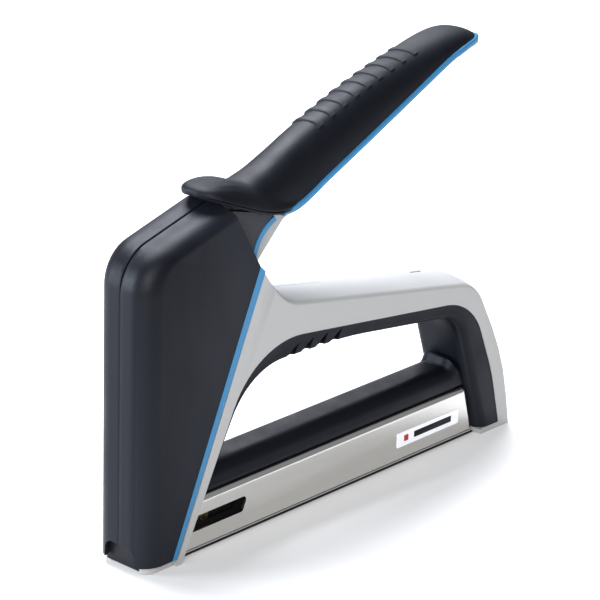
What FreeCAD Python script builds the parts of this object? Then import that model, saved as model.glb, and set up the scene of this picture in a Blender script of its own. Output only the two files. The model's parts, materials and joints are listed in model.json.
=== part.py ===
"""Hand-powered staple gun: squeeze lever, spring-driven striker and pull-out staple track.

Stations run along +X from the front of the nose, heights along +Z from the feet. Each sub-part is drawn
in stations and shifted by half the tool's length, so the origin is under the middle of the tool, level
with its feet. +Y is the tool's right-hand side.
"""
import FreeCAD
import Part
import math
import os
import re

SIZES = {
    "tool_length": 210.0,
    "body_half_width": 13.5,
    "nose_core_half_width": 12.0,
    "bay_half_width": 10.85,
    "blade_bay_half_width": 7.4,
    "slot_half_width": 5.6,
    "nose_radius": 8.0,
    "nose_core_radius": 6.5,
    "grip_radius": 4.0,
    "liner_half_width": 13.0,
    "liner_radius": 2.6,
    "strip_outer": 13.6,
    "magazine_half_width": 10.8,
    "magazine_wall": 1.0,
    "magazine_radius": 2.4,
    "bar_half_width": 9.0,
    "bar_radius": 5.0,
    "rib_half_width": 7.0,
    "rib_radius": 1.4,
    "channel_half_width": 6.4,
    "channel_gap": 5.6,
    "rail_half_width": 4.5,
    "rail_wall": 0.8,
    "rail_slot": 1.3,
    "crown_half_width": 5.35,
    "crown_height": 12.4,
    "wire_pitch": 1.27,
    "wire_gap": 0.05,
    "wire_depth": 0.6,
    "leg_height": 10.0,
    "strip_start": 7.3,
    "strip_count": 27,
    "pusher_half_width": 5.2,
    "rod_radius": 1.2,
    "rod_height": 7.0,
    "cap_half_width": 8.0,
    "cap_opening": 8.3,
    "button_half_width": 4.0,
    "pivot_station": 28.0,
    "pivot_height": 106.3,
    "pin_radius": 3.0,
    "bush_radius": 4.2,
    "running_gap": 0.05,
    "pin_half_length": 11.8,
    "stop_pin_radius": 2.0,
    "rivet_radius": 2.0,
    "core_half_width": 5.0,
    "neck_half_width": 8.8,
    "arm_half_width": 2.5,
    "trim_half_width": 11.4,
    "grip_half_width": 11.2,
    "lip_half_width": 13.2,
    "blade_front": 5.8,
    "blade_back": 7.0,
    "blade_half_width": 5.2,
    "spring_station": 14.2,
    "spring_radius": 5.4,
    "spring_wire": 0.95,
    "plunger_top": 51.0,
    "seat_bottom": 89.0,
    "screw_radius": 1.6,
    "screw_head_radius": 2.9,
    "socket_radius": 1.3,
    "recess_radius": 3.1,
    "screw_head_depth": 2.2,
    "screw_half_length": 9.0,
}

# Corners are (station, height) or (station, height, radius).
COVER_OUTLINE = [(0, 2.8), (0.9, 121.0, 17), (44.6, 133.0), (59.4, 107.0), (14.6, 2.8)]
NOSE_CORE = [(1.5, 0), (2.4, 119.4, 15.5), (43.6, 130.9), (62.4, 102.9), (17.0, 0)]
FRAME_OUTLINE = [
    (1.5, 0),
    (2.4, 119.4, 15.5),
    (43.6, 130.9),
    (62.4, 102.9, 16),
    (72.7, 91.3, 20),
    (183.9, 70.3, 20),
    (204.9, 30.4, 110),
    (210.0, 0),
    (190.8, 0, 0.8),
    (190.8, 2.2),
    (202.6, 2.2),
    (197.0, 25.8, 90),
    (183.1, 60.5, 28),
    (57.7, 77.3, 36),
    (19.6, 0, 0.8),
]
COVER_STEP = [(-5, -2), (-5, 140), (38.5, 140), (62.1, 104.4), (15.9, -2)]
BLADE_BAY = [(3.1, -2), (3.8, 118.3, 14), (30, 125.2), (30, -2)]
MECHANISM_BAY = [
    (7.4, -2),
    (7.4, 109, 3),
    (22, 114),
    (22, 145),
    (72, 145),
    (72, 82.2, 3),
    (58, 79.6, 6),
    (44, 74, 6),
    (29, 24),
    (29, 22.3),
    (60, 22.3),
    (60, -2),
]
LEVER_SLOT = [(60, 83.5), (60, 145), (81, 145), (81, 85.5, 2)]
LINER_OUTER = [
    (20.2, 1.2),
    (57.7, 77.3, 36),
    (183.1, 60.5, 28),
    (197.0, 25.8, 90),
    (202.6, 2.2),
    (190.9, 2.2),
    (174.0, 55.4, 14),
    (110, 64.6, 180),
    (56.0, 66.4, 30),
    (21.3, 1.2),
]
GRIP_HOLLOWS = [
    [(95.5, 75.4, 2), (95.5, 84.2, 2), (119, 79.8, 2), (119, 72.1, 2)],
    [(131, 70.6, 2), (131, 77.6, 2), (163.5, 71.4, 2), (163.5, 66.0, 2)],
]
SCREW_PLACES = [(50, 68), (89, 80.4), (125, 75.2), (171, 67.2), (198.9, 30)]
STRIP_OUTLINE = [(14.6, 2.8), (59.4, 107.0), (62.1, 104.4), (16.7, 2.8)]
COVER_MOUTH = [(30, 100), (30, 126), (43.2, 131.0), (46.5, 131.0), (66, 100)]

MAGAZINE_SIDE = [(8, 1.2), (8, 22.0), (184.6, 22.0, 2), (190.0, 1.2, 1)]
MAGAZINE_HOLLOW = [(0, -5), (0, 21.0), (184.2, 21.0), (195, 21.0), (195, -5)]
SIGHT_WINDOW = [(22, 9.2, 0.8), (22, 15.2, 0.8), (57.2, 15.2, 1.6), (54.6, 9.2, 1.6)]
LABEL_OUTLINE = [(142.4, 7.8, 0.6), (142.4, 14.0, 0.6), (179.8, 14.0, 0.6), (179.8, 7.8, 0.6)]
BAR_SIDE = [
    (33.2, 22.8),
    (37.6, 31.4, 3),
    (179.0, 31.4, 3),
    (183.9, 22.8),
]
BAR_RIB = [(172.4, 28), (173.0, 31.6), (176.0, 36.3, 1.6), (178.9, 35.6, 1.6), (182.2, 26.4)]
BAR_FOOT = [(36, 22.0), (36, 24), (180, 24), (180, 22.0)]
GUIDE_SIDE = [(3.7, 0.6), (3.7, 60), (5.6, 60), (5.6, 0.6)]
BUMPER_SEAT_SIDE = [(7.4, 34.4), (7.4, 38.6, 1), (22.5, 38.6, 1), (22.5, 34.4)]
BUMPER_SIDE = [(7.4, 38.6), (7.4, 45.9, 1), (21.2, 45.9, 1), (21.2, 38.6)]
SPRING_SEAT_SIDE = [(7.4, 89), (7.4, 91.6, 1), (22.0, 91.6, 1), (22.0, 89)]
PLUNGER_SIDE = [(7.0, 46), (7.0, 51), (21.4, 51, 1), (21.4, 46, 1)]
CHANNEL_SIDE = [(7.6, 1.5), (7.6, 17.0), (183, 17.0), (183, 1.5)]
CHANNEL_HOLLOW = [(0, -2), (0, 16.2), (190, 16.2), (190, -2)]
RAIL_SIDE = [(8.4, 2.8), (8.4, 11.6), (191.6, 11.6), (191.6, 2.8)]
RAIL_HOLLOW = [(0, -2), (0, 10.8), (200, 10.8), (200, -2)]
PUSHER_TOP = [(41.8, 11.9, 0.4), (41.8, 15.7, 0.8), (70, 15.7, 0.8), (70, 11.9, 0.4)]
PUSHER_WEB = [(50, 9), (50, 12.6), (64, 12.6), (64, 9)]
PUSHER_LUG = [(50, 4.6, 0.5), (50, 10.4), (64, 10.4), (64, 4.6, 0.5)]
CAP_SIDE = [(191.6, 2.6, 0.5), (191.6, 18.6, 0.5), (206.4, 18.6, 1.5), (209.0, 2.6, 1)]
BUTTON_SIDE = [(202.5, 10.1, 0.4), (202.5, 16.9, 0.4), (206.6, 16.9, 0.6), (207.8, 10.1, 0.6)]
BUTTON_POCKET = [(199, 10), (199, 17), (220, 17), (220, 10)]
CAP_PASSAGE = [(180, 2.4), (180, 18.9), (220, 18.9), (220, 2.4)]

LIFT_ARM = [
    (5.9, 96.0, 0.6),
    (5.6, 98.6, 0.6),
    (9.3, 100.3),
    (12, 103.5, 4),
    (18, 113, 6),
    (36, 115.5, 6),
    (50, 121.5, 2),
    (55, 114.5, 2),
    (38, 98.5, 8),
    (21, 97.0, 8),
    (10.2, 97.4),
]
LEVER_CORE = [
    (19.6, 104, 5),
    (22, 112.5, 5),
    (40, 119.5, 5),
    (60, 130.5, 8),
    (167.5, 166.0, 0.8),
    (170, 163.9, 0.5),
    (90.5, 128.3, 1),
    (88, 121.4, 1.5),
    (80, 118.2, 3),
    (66, 104.5, 8),
    (37, 97.8, 6),
    (21, 97.6, 5),
]
LEVER_NECK = [
    (19.8, 104, 5),
    (22.5, 112.5, 5),
    (38, 119.5, 2),
    (48.5, 129.9, 2),
    (71.4, 123.4, 1),
    (60.1, 116.6, 18),
    (58.6, 100.5, 4),
    (37, 98.0, 6),
    (21, 97.8, 5),
]
NECK_TRIM = [
    (58.9, 100.8, 0.4), (60.2, 116.6, 18), (71.2, 122.6), (72.2, 120.8), (62.3, 115.3, 16),
    (61.0, 100.8, 0.4),
]
HANDLE_TRIM = [
    (72.5, 121.4, 0.6), (81.8, 123.0, 2), (176.6, 166.0, 1), (175.6, 168.4, 1), (81.2, 125.6, 2),
    (72.3, 123.4, 0.6),
]
GRIP_SIDE = [
    (47, 131.5, 4),
    (41.5, 140.0, 4),
    (64, 137.6, 14),
    (78, 144.0, 30),
    (124, 161.4, 160),
    (168, 172.4, 60),
    (187.5, 171.2, 5),
    (191.6, 165.6, 3),
    (176.4, 168.9, 2),
    (81.4, 125.8, 4),
    (72.3, 123.9, 2),
]
LIP_SIDE = [
    (36.8, 138.0, 1.2), (38.4, 140.2, 1), (62, 139.5), (81.6, 125.4, 0.8), (76, 122.4, 1.5),
    (52, 130.0, 30),
]
GRIP_PLAN = [
    (34, -14, 3), (96, -11.2, 40), (173, -10.4, 9), (192.2, 0, 10), (173, 10.4, 9),
    (96, 11.2, 40), (34, 14, 3),
]
LIP_PLAN = [
    (36.0, 0, 9), (44, -11.5, 12), (66, -13.4, 14), (84, -11.6, 6), (84, 11.6, 6),
    (66, 13.4, 14), (44, 11.5, 12),
]
TRIM_PLAN = [
    (50, -11.4), (96, -11.4, 40), (173, -10.6, 9), (178.5, 0, 10), (173, 10.6, 9),
    (96, 11.4, 40), (50, 11.4),
]

ALONG_X = FreeCAD.Vector(1, 0, 0)
ALONG_Z = FreeCAD.Vector(0, 0, 1)
BLADE_FACE = [
    (-5.2, 1.0), (-5.2, 38), (-6.6, 42), (-6.6, 101.3, 2), (6.6, 101.3, 2), (6.6, 42), (5.2, 38),
    (5.2, 1.0),
]
RIVET_PLACES = [(42, 108.5), (49, 117.0)]
BLADE_WINDOW = [(-3.1, 95.6, 0.4), (-3.1, 99.7, 0.4), (3.1, 99.7, 0.4), (3.1, 95.6, 0.4)]

doc = FreeCAD.newDocument("staple_gun")
sheet = doc.addObject("Spreadsheet::Sheet", "Sizes")
for row, (alias, value) in enumerate(SIZES.items(), start=1):
    sheet.set("A%d" % row, alias)
    sheet.set("B%d" % row, str(value))
    sheet.setAlias("B%d" % row, alias)
doc.recompute()
subparts = []


def size(alias):
    """The value of a driving dimension, read back from the sheet."""
    return float(sheet.get(alias))


def bound(expression):
    """Points the names in an expression at the sheet."""
    return re.sub("[a-z][a-z_]+", lambda name: "Sizes." + name.group(), expression)


def new_body(label, is_subpart=True):
    body = doc.addObject("PartDesign::Body", label)
    body.Label = label
    body.setExpression("Placement.Base.x", bound("-tool_length / 2"))
    if is_subpart:
        subparts.append(body)
    return body


def rounded(corners):
    """Lines and tangent arcs through a closed ring of corners."""
    ends = []
    count = len(corners)
    for index, corner in enumerate(corners):
        here = FreeCAD.Vector(corner[0], corner[1], 0)
        back = FreeCAD.Vector(*corners[index - 1][:2], 0) - here
        ahead = FreeCAD.Vector(*corners[(index + 1) % count][:2], 0) - here
        radius = corner[2] if len(corner) > 2 else 0
        if radius == 0:
            ends.append((here, here, None))
            continue
        back.normalize()
        ahead.normalize()
        half = back.getAngle(ahead) / 2
        reach = radius / math.tan(half)
        centre = here + (back + ahead).normalize() * (radius / math.sin(half))
        middle = centre + (here - centre).normalize() * radius
        start, end = here + back * reach, here + ahead * reach
        ends.append((start, end, Part.Arc(start, middle, end)))
    edges = []
    for index, (start, end, arc) in enumerate(ends):
        if arc:
            edges.append(arc)
        following = ends[(index + 1) % count][0]
        if end.distanceToPoint(following) > 1e-6:
            edges.append(Part.LineSegment(end, following))
    return edges


def sketch(body, name, role, edges, offset="0"):
    """A sketch on one of the body's own origin planes, moved along its normal by offset."""
    item = body.newObject("Sketcher::SketchObject", body.Name + "_" + name)
    planes = {feature.Role: feature for feature in body.Origin.OriginFeatures}
    item.AttachmentSupport = (planes[role], [""])
    item.MapMode = "FlatFace"
    item.setExpression("AttachmentOffset.Base.z", bound(offset))
    item.addGeometry(edges, False)
    return item


def extrude(body, kind, name, role, edges, near, far):
    """A pad or pocket from near to far along the plane's normal; far None makes it symmetric, near wide."""
    both = far is None
    before = body.Tip.Shape.Volume if kind == "Pocket" else 0
    profile = sketch(body, name + "_sketch", role, edges, "0" if both else near)
    item = body.newObject("PartDesign::" + kind, body.Name + "_" + name)
    item.Profile = profile
    if both:
        item.SideType = "Symmetric"
        item.setExpression("Length", bound("2 * (" + near + ")"))
    else:
        item.setExpression("Length", bound("(" + far + ") - (" + near + ")"))
        item.Reversed = kind == "Pocket"
    doc.recompute()
    if kind == "Pocket" and item.Shape.Volume > before - 1e-3:
        raise ValueError(item.Name + " cuts nothing")
    return item


def add(body, name, role, corners, near, far=None):
    return extrude(body, "Pad", name, role, rounded(corners), near, far)


def cut(body, name, role, corners, near, far=None):
    return extrude(body, "Pocket", name, role, rounded(corners), near, far)


def disc(station, height, radius):
    return [Part.Circle(FreeCAD.Vector(station, height, 0), FreeCAD.Vector(0, 0, 1), radius)]


def add_round(body, name, role, centre, radius, near, far=None):
    return extrude(body, "Pad", name, role, disc(*centre, size(radius)), near, far)


def cut_round(body, name, role, centre, radius, near, far=None):
    return extrude(body, "Pocket", name, role, disc(*centre, radius), near, far)


def fillet(body, name, radius, wanted):
    """Rounds the edges that wanted(middle point, edge) picks out."""
    tip = body.Tip
    names = []
    for index, edge in enumerate(tip.Shape.Edges, start=1):
        middle = edge.valueAt((edge.FirstParameter + edge.LastParameter) / 2)
        if wanted(middle, edge):
            names.append("Edge%d" % index)
    item = body.newObject("PartDesign::Fillet", body.Name + "_" + name)
    item.Base = (tip, names)
    item.setExpression("Radius", bound(radius))
    doc.recompute()
    return item


def stretch(corners, first, last, plane):
    """Picks the edges in the two side planes that follow an outline from one corner to another."""
    distance = size(plane)
    edges = rounded(corners)
    kept, position = [], 0
    for index, corner in enumerate(corners):
        if len(corner) > 2:
            if first < index < last:
                kept.append(edges[position].toShape())
            position += 1
        if first <= index < last:
            kept.append(edges[position].toShape())
        position += 1

    def wanted(middle, edge):
        if any(abs(abs(vertex.Y) - distance) > 1e-4 for vertex in edge.Vertexes):
            return False
        point = Part.Vertex(middle.x, middle.z, 0)
        return any(way.distToShape(point)[0] < 1e-3 for way in kept)

    return wanted


def mirrored(source, label, is_subpart=True):
    item = doc.addObject("Part::Mirroring", label)
    item.Label = label
    item.Source = source
    item.Normal = FreeCAD.Vector(0, 1, 0)
    if is_subpart:
        subparts.append(item)
    return item


def combined(kind, label, base, tool, is_subpart=True):
    item = doc.addObject("Part::" + kind, label)
    item.Label = label
    item.Base = base
    item.Tool = tool
    doc.recompute()
    if is_subpart:
        subparts.append(item)
    return item


def coil(label, start, axis, length, radius, wire, turns):
    """A round-wire spring whose centre line starts at start, given in stations, and runs along axis."""
    helix = Part.makeHelix(length / turns, length, radius)
    profile = Part.Wire(Part.makeCircle(wire, FreeCAD.Vector(radius, 0, 0), FreeCAD.Vector(0, 1, 0)))
    solid = Part.Wire(helix.Edges).makePipeShell([profile], True, True)
    item = doc.addObject("Part::Feature", label)
    item.Label = label
    item.Shape = solid
    item.Placement = FreeCAD.Placement(start, FreeCAD.Rotation(FreeCAD.Vector(0, 0, 1), axis))
    item.setExpression("Placement.Base.x", bound("%r - tool_length / 2" % start.x))
    subparts.append(item)
    return item


# Frame: two die-cast halves that meet on the centre plane.
frame_left = new_body("frame_left")
add(frame_left, "casting", "XZ_Plane", FRAME_OUTLINE, "0", "body_half_width")
fillet(frame_left, "grip_round", "grip_radius", stretch(FRAME_OUTLINE, 2, 7, "body_half_width"))
cut(frame_left, "cover_step", "XZ_Plane", COVER_STEP, "nose_core_half_width", "body_half_width + 1")
fillet(frame_left, "nose_round", "nose_core_radius", stretch(FRAME_OUTLINE, 0, 2, "nose_core_half_width"))
cut(frame_left, "blade_bay", "XZ_Plane", BLADE_BAY, "0", "blade_bay_half_width")
cut(frame_left, "mechanism_bay", "XZ_Plane", MECHANISM_BAY, "0", "bay_half_width")
cut(frame_left, "lever_slot", "XZ_Plane", LEVER_SLOT, "0", "slot_half_width")
for number, hollow in enumerate(GRIP_HOLLOWS, start=1):
    cut(frame_left, "hollow_%d" % number, "XZ_Plane", hollow, "0", "bay_half_width")
cut(frame_left, "track_passage", "XZ_Plane", CAP_PASSAGE, "0", "cap_opening")
pivot = (size("pivot_station"), size("pivot_height"))
stop_place = (33.8, 119.9)
hole_start = "bay_half_width - 1"
cut_round(frame_left, "pivot_hole", "XZ_Plane", pivot, size("pin_radius"), hole_start, "pin_half_length")
stop_radius = size("stop_pin_radius")
cut_round(frame_left, "stop_hole", "XZ_Plane", stop_place, stop_radius, hole_start, "pin_half_length")
for number, place in enumerate(SCREW_PLACES, start=1):
    hole = "screw_hole_%d" % number
    cut_round(frame_left, hole, "XZ_Plane", place, size("screw_radius"), "0", "screw_half_length")
cut(frame_left, "nose_notch", "YZ_Plane", [(-7, -2), (-7, 8.5, 3), (7, 8.5, 3), (7, -2)], "-2", "6")

screw_recess = new_body("screw_recess", is_subpart=False)
for number, place in enumerate(SCREW_PLACES, start=1):
    add_round(screw_recess, "seat_%d" % number, "XZ_Plane", place, "recess_radius", "-body_half_width - 1",
              "screw_head_depth - body_half_width")
    add_round(screw_recess, "hole_%d" % number, "XZ_Plane", place, "screw_radius", "1 - body_half_width",
              "1 - screw_half_length")
frame_mirror = mirrored(frame_left, "frame_mirror", is_subpart=False)
frame_right = combined("Cut", "frame_right", frame_mirror, screw_recess)

# Nose cover: two shells over the front of the frame, parted on the centre plane.
cover_shape = new_body("cover_shape", is_subpart=False)
add(cover_shape, "shell", "XZ_Plane", COVER_OUTLINE, "0", "body_half_width")
fillet(cover_shape, "edge", "nose_radius", stretch(COVER_OUTLINE, 0, 2, "body_half_width"))
cut(cover_shape, "notch", "YZ_Plane", [(-7.6, -2), (-7.6, 10.2, 4), (7.6, 10.2, 4), (7.6, -2)], "-2", "6")
core_shape = new_body("core_shape", is_subpart=False)
add(core_shape, "core", "XZ_Plane", NOSE_CORE, "0", "nose_core_half_width")
fillet(core_shape, "edge", "nose_core_radius", stretch(NOSE_CORE, 0, 2, "nose_core_half_width"))
add(core_shape, "lever_mouth", "XZ_Plane", COVER_MOUTH, "bay_half_width")
cover_left = combined("Cut", "nose_cover_left", cover_shape, core_shape)
cover_right = mirrored(cover_left, "nose_cover_right")

# Accent strips in the joint between cover and frame.
strip_left = new_body("accent_strip_left")
add(strip_left, "strip", "XZ_Plane", STRIP_OUTLINE, "nose_core_half_width", "strip_outer")
strip_right = mirrored(strip_left, "accent_strip_right")

# Rubber lining of the hand loop.
liner = new_body("hand_loop_liner")
add(liner, "band", "XZ_Plane", LINER_OUTER, "liner_half_width")
fillet(liner, "soft_edge", "liner_radius", stretch(LINER_OUTER, 5, 8, "liner_half_width"))
cut(liner, "track_passage", "XZ_Plane", CAP_PASSAGE, "cap_opening")
cut(liner, "magazine_passage", "XZ_Plane", [(10, -2), (10, 22.3), (60, 22.3), (60, -2)], "bay_half_width")

# Magazine: stainless cover with a sight window, plastic bar, staple channel and blank label.
magazine = new_body("magazine_cover")
add(magazine, "sheet", "XZ_Plane", MAGAZINE_SIDE, "magazine_half_width")
fillet(magazine, "top_fold", "magazine_radius", stretch(MAGAZINE_SIDE, 1, 2, "magazine_half_width"))
cut(magazine, "inside", "XZ_Plane", MAGAZINE_HOLLOW, "magazine_half_width - magazine_wall")
cut(magazine, "sight_window", "XZ_Plane", SIGHT_WINDOW, "magazine_half_width + 1")

bar = new_body("magazine_bar")
add(bar, "bar", "XZ_Plane", BAR_SIDE, "bar_half_width")
fillet(bar, "crown", "bar_radius", stretch(BAR_SIDE, 1, 2, "bar_half_width"))
add(bar, "rib", "XZ_Plane", BAR_RIB, "rib_half_width")
fillet(bar, "rib_crest", "rib_radius", stretch(BAR_RIB, 2, 3, "rib_half_width"))
add(bar, "foot", "XZ_Plane", BAR_FOOT, "bar_half_width - 1")

label = new_body("label_plate")
add(label, "label", "XZ_Plane", LABEL_OUTLINE, "magazine_half_width", "magazine_half_width + 0.15")

channel = new_body("staple_channel")
add(channel, "sheet", "XZ_Plane", CHANNEL_SIDE, "channel_half_width")
cut(channel, "inside", "XZ_Plane", CHANNEL_HOLLOW, "channel_gap")
cut(channel, "sight_window", "XZ_Plane", SIGHT_WINDOW, "channel_half_width + 1")

# Inside of the nose: guide plate, bumper and its seat, power spring and its upper seat.
guide = new_body("guide_plate")
add(guide, "plate", "XZ_Plane", GUIDE_SIDE, "blade_bay_half_width - 0.05")

bumper_seat = new_body("bumper_seat")
add(bumper_seat, "bracket", "XZ_Plane", BUMPER_SEAT_SIDE, "bay_half_width - 0.05")

bumper = new_body("bumper")
add(bumper, "block", "XZ_Plane", BUMPER_SIDE, "channel_half_width")

spring_seat = new_body("spring_seat")
add(spring_seat, "bracket", "XZ_Plane", SPRING_SEAT_SIDE, "bay_half_width - 0.05")
spring_length = size("seat_bottom") - size("plunger_top")
spring_foot = FreeCAD.Vector(size("spring_station"), 0, size("plunger_top") + size("spring_wire") + 0.1)
spring_run = spring_length - 2 * size("spring_wire") - 0.2
coil("main_spring", spring_foot, ALONG_Z, spring_run, size("spring_radius"), size("spring_wire"), 9)

# Pins and screws that hold the halves together.
pin = new_body("pivot_pin")
add_round(pin, "pin", "XZ_Plane", pivot, "pin_radius", "pin_half_length")
stop_pin = new_body("lever_stop_pin")
add_round(stop_pin, "pin", "XZ_Plane", stop_place, "stop_pin_radius", "pin_half_length")

head_seat = "screw_head_depth - body_half_width"
head_face = "0.3 - body_half_width"
socket_floor = "1.8 - body_half_width"
screws = new_body("frame_screws")
for number, place in enumerate(SCREW_PLACES, start=1):
    shank = "shank_%d" % number
    add_round(screws, shank, "XZ_Plane", place, "screw_radius", head_seat, "screw_half_length")
    add_round(screws, "head_%d" % number, "XZ_Plane", place, "screw_head_radius", head_face, head_seat)
    socket = "socket_%d" % number
    cut_round(screws, socket, "XZ_Plane", place, size("socket_radius"), "-body_half_width", socket_floor)

def rivet_holes(body, reach):
    for number, place in enumerate(RIVET_PLACES, start=1):
        cut_round(body, "rivet_hole_%d" % number, "XZ_Plane", place, size("rivet_radius"), reach)


# Lever: metal core on a bronze bush, lift arm, dark neck, blue trim and black grip with a thumb lip.
core = new_body("lever_core")
add(core, "web", "XZ_Plane", LEVER_CORE, "core_half_width")
cut(core, "arm_slot", "XZ_Plane", [(0, 90), (0, 117), (58, 124.4), (58, 90)], "arm_half_width + running_gap")
cut_round(core, "bush_bore", "XZ_Plane", pivot, size("bush_radius"), "core_half_width + 1")
rivet_holes(core, "core_half_width + 1")

arm = new_body("lift_arm")
add(arm, "plate", "XZ_Plane", LIFT_ARM, "arm_half_width")
cut_round(arm, "bush_bore", "XZ_Plane", pivot, size("bush_radius"), "arm_half_width + 1")
rivet_holes(arm, "arm_half_width + 1")

bush = new_body("lever_bush")
add_round(bush, "tube", "XZ_Plane", pivot, "bush_radius", "neck_half_width")
cut_round(bush, "bore", "XZ_Plane", pivot, size("pin_radius") + size("running_gap"), "neck_half_width + 1")

neck_left = new_body("lever_neck_left")
add(neck_left, "shield", "XZ_Plane", LEVER_NECK, "core_half_width", "neck_half_width")
neck_start = "core_half_width - 1"
cut_round(neck_left, "bush_bore", "XZ_Plane", pivot, size("bush_radius"), neck_start, "neck_half_width + 1")
neck_right = mirrored(neck_left, "lever_neck_right")

rivets = new_body("lever_rivets")
for number, place in enumerate(RIVET_PLACES, start=1):
    add_round(rivets, "rivet_%d" % number, "XZ_Plane", place, "rivet_radius", "core_half_width")

neck_trim_left = new_body("neck_trim_left")
add(neck_trim_left, "edge", "XZ_Plane", NECK_TRIM, "core_half_width", "neck_half_width + 0.2")
neck_trim_right = mirrored(neck_trim_left, "neck_trim_right")

grip_side = new_body("grip_side", is_subpart=False)
add(grip_side, "side", "XZ_Plane", GRIP_SIDE, "grip_half_width + 4")
grip_plan = new_body("grip_plan", is_subpart=False)
add(grip_plan, "plan", "XY_Plane", GRIP_PLAN, "90", "200")
grip_block = combined("Common", "grip_block", grip_side, grip_plan, is_subpart=False)
lip_side = new_body("lip_side", is_subpart=False)
add(lip_side, "side", "XZ_Plane", LIP_SIDE, "lip_half_width + 2")
lip_plan = new_body("lip_plan", is_subpart=False)
add(lip_plan, "plan", "XY_Plane", LIP_PLAN, "90", "200")
lip_block = combined("Common", "lip_block", lip_side, lip_plan, is_subpart=False)
grip_and_lip = combined("Fuse", "grip_and_lip", grip_block, lip_block, is_subpart=False)
lever_grip = combined("Cut", "lever_grip", grip_and_lip, core)

trim_side = new_body("trim_side", is_subpart=False)
add(trim_side, "side", "XZ_Plane", HANDLE_TRIM, "trim_half_width + 1")
trim_plan = new_body("trim_plan", is_subpart=False)
add(trim_plan, "plan", "XY_Plane", TRIM_PLAN, "90", "200")
trim_tray = combined("Common", "trim_tray", trim_side, trim_plan, is_subpart=False)
trim_round_core = combined("Cut", "trim_round_core", trim_tray, core, is_subpart=False)
lever_trim = combined("Cut", "lever_trim", trim_round_core, lever_grip)

# Return springs: a coil round the pivot on each side of the neck.
beside_neck = FreeCAD.Vector(pivot[0], -9.24, pivot[1])
coil("return_spring_left", beside_neck, FreeCAD.Vector(0, -1, 0), 1.2, 5.6, 0.3, 2)
mirrored(doc.getObject("return_spring_left"), "return_spring_right")

# Striker: blade with a window for the lift arm, and the plunger that works against the power spring.
blade = new_body("striker_blade")
add(blade, "plate", "YZ_Plane", BLADE_FACE, "blade_front", "blade_back")
cut(blade, "arm_window", "YZ_Plane", BLADE_WINDOW, "blade_front - 1", "blade_back + 1")

plunger = new_body("plunger")
add(plunger, "block", "XZ_Plane", PLUNGER_SIDE, "blade_half_width + 1.2")
plunger_rivets = new_body("plunger_rivets")
for name, side in (("left", -3.6), ("right", 3.6)):
    place = (side, 48.5)
    add_round(plunger_rivets, name, "YZ_Plane", place, "rod_radius", "blade_front - 0.1", "blade_front")

# Staples: a glued strip of round-cornered U shapes.
strip = new_body("staple_strip")
half, wire = size("crown_half_width"), size("wire_depth")
top, foot = size("crown_height"), size("crown_height") - size("leg_height")
staple = [(-half, foot), (-half, top, 0.5), (half, top, 0.5), (half, foot), (half - wire, foot),
          (half - wire, top - wire), (wire - half, top - wire), (wire - half, foot)]
first_staple = add(strip, "staple", "YZ_Plane", staple, "strip_start", "strip_start + wire_pitch - wire_gap")
row = strip.newObject("PartDesign::LinearPattern", "strip_row")
row.Originals = [first_staple]
row.Direction = (next(item for item in strip.Origin.OriginFeatures if item.Role == "X_Axis"), [""])
row.setExpression("Length", bound("wire_pitch * (strip_count - 1)"))
row.setExpression("Occurrences", bound("strip_count"))
strip.Tip = row
doc.recompute()

# Track that pulls out at the rear: rail, rod, end cap with release button; the pusher rides on it.
rail = new_body("track_rail")
add(rail, "sheet", "XZ_Plane", RAIL_SIDE, "rail_half_width")
cut(rail, "inside", "XZ_Plane", RAIL_HOLLOW, "rail_half_width - rail_wall")
slot = size("rail_slot")
cut(rail, "slot", "XY_Plane", [(14, -slot), (14, slot), (187, slot), (187, -slot)], "10", "13")
rod = new_body("pusher_rod")
rod_centre = (0, size("rod_height"))
add_round(rod, "rod", "YZ_Plane", rod_centre, "rod_radius", "12", "191.6")
cap = new_body("track_end_cap")
add(cap, "block", "XZ_Plane", CAP_SIDE, "cap_half_width")
cut(cap, "button_pocket", "XZ_Plane", BUTTON_POCKET, "button_half_width + 0.1")
button = new_body("release_button")
add(button, "button", "XZ_Plane", BUTTON_SIDE, "button_half_width")
coil("release_spring", FreeCAD.Vector(199.4, 0, 13.5), ALONG_X, 2.7, 2.0, 0.3, 3)

pusher = new_body("pusher")
add(pusher, "saddle", "XZ_Plane", PUSHER_TOP, "pusher_half_width")
add(pusher, "web", "XZ_Plane", PUSHER_WEB, "rail_slot - 0.2")
add(pusher, "lug", "XZ_Plane", PUSHER_LUG, "rail_half_width - rail_wall - 0.3")
cut_round(pusher, "rod_bore", "YZ_Plane", rod_centre, size("rod_radius") + size("running_gap"), "49", "65")
coil("pusher_spring", FreeCAD.Vector(64.5, 0, size("rod_height")), ALONG_X, 126.4, 2.1, 0.35, 34)

doc.recompute()
for item in doc.Objects:
    if "Invalid" in item.State or "Error" in item.State:
        raise ValueError("%s: %s" % (item.Label, item.State))
for item in subparts:
    if item.Shape.isNull() or not item.Shape.isValid():
        raise ValueError(item.Label + " has no valid shape")

os.makedirs("parts", exist_ok=True)
for item in subparts:
    item.Shape.exportStep("parts/%s.step" % item.Label)
    print("%-20s %8.0f mm3 %3d solids" % (item.Label, item.Shape.Volume, len(item.Shape.Solids)))
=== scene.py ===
"""Looks of a hand-powered staple gun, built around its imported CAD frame.

Stations run along +X from the front of the nose and heights along +Z, both in millimetres; point() turns
them into metres in the frame. +Y is the tool's right. The label is on the left and the screws on the right.
"""
import json
import math

import bmesh
import bpy
from mathutils import Matrix, Vector


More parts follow.
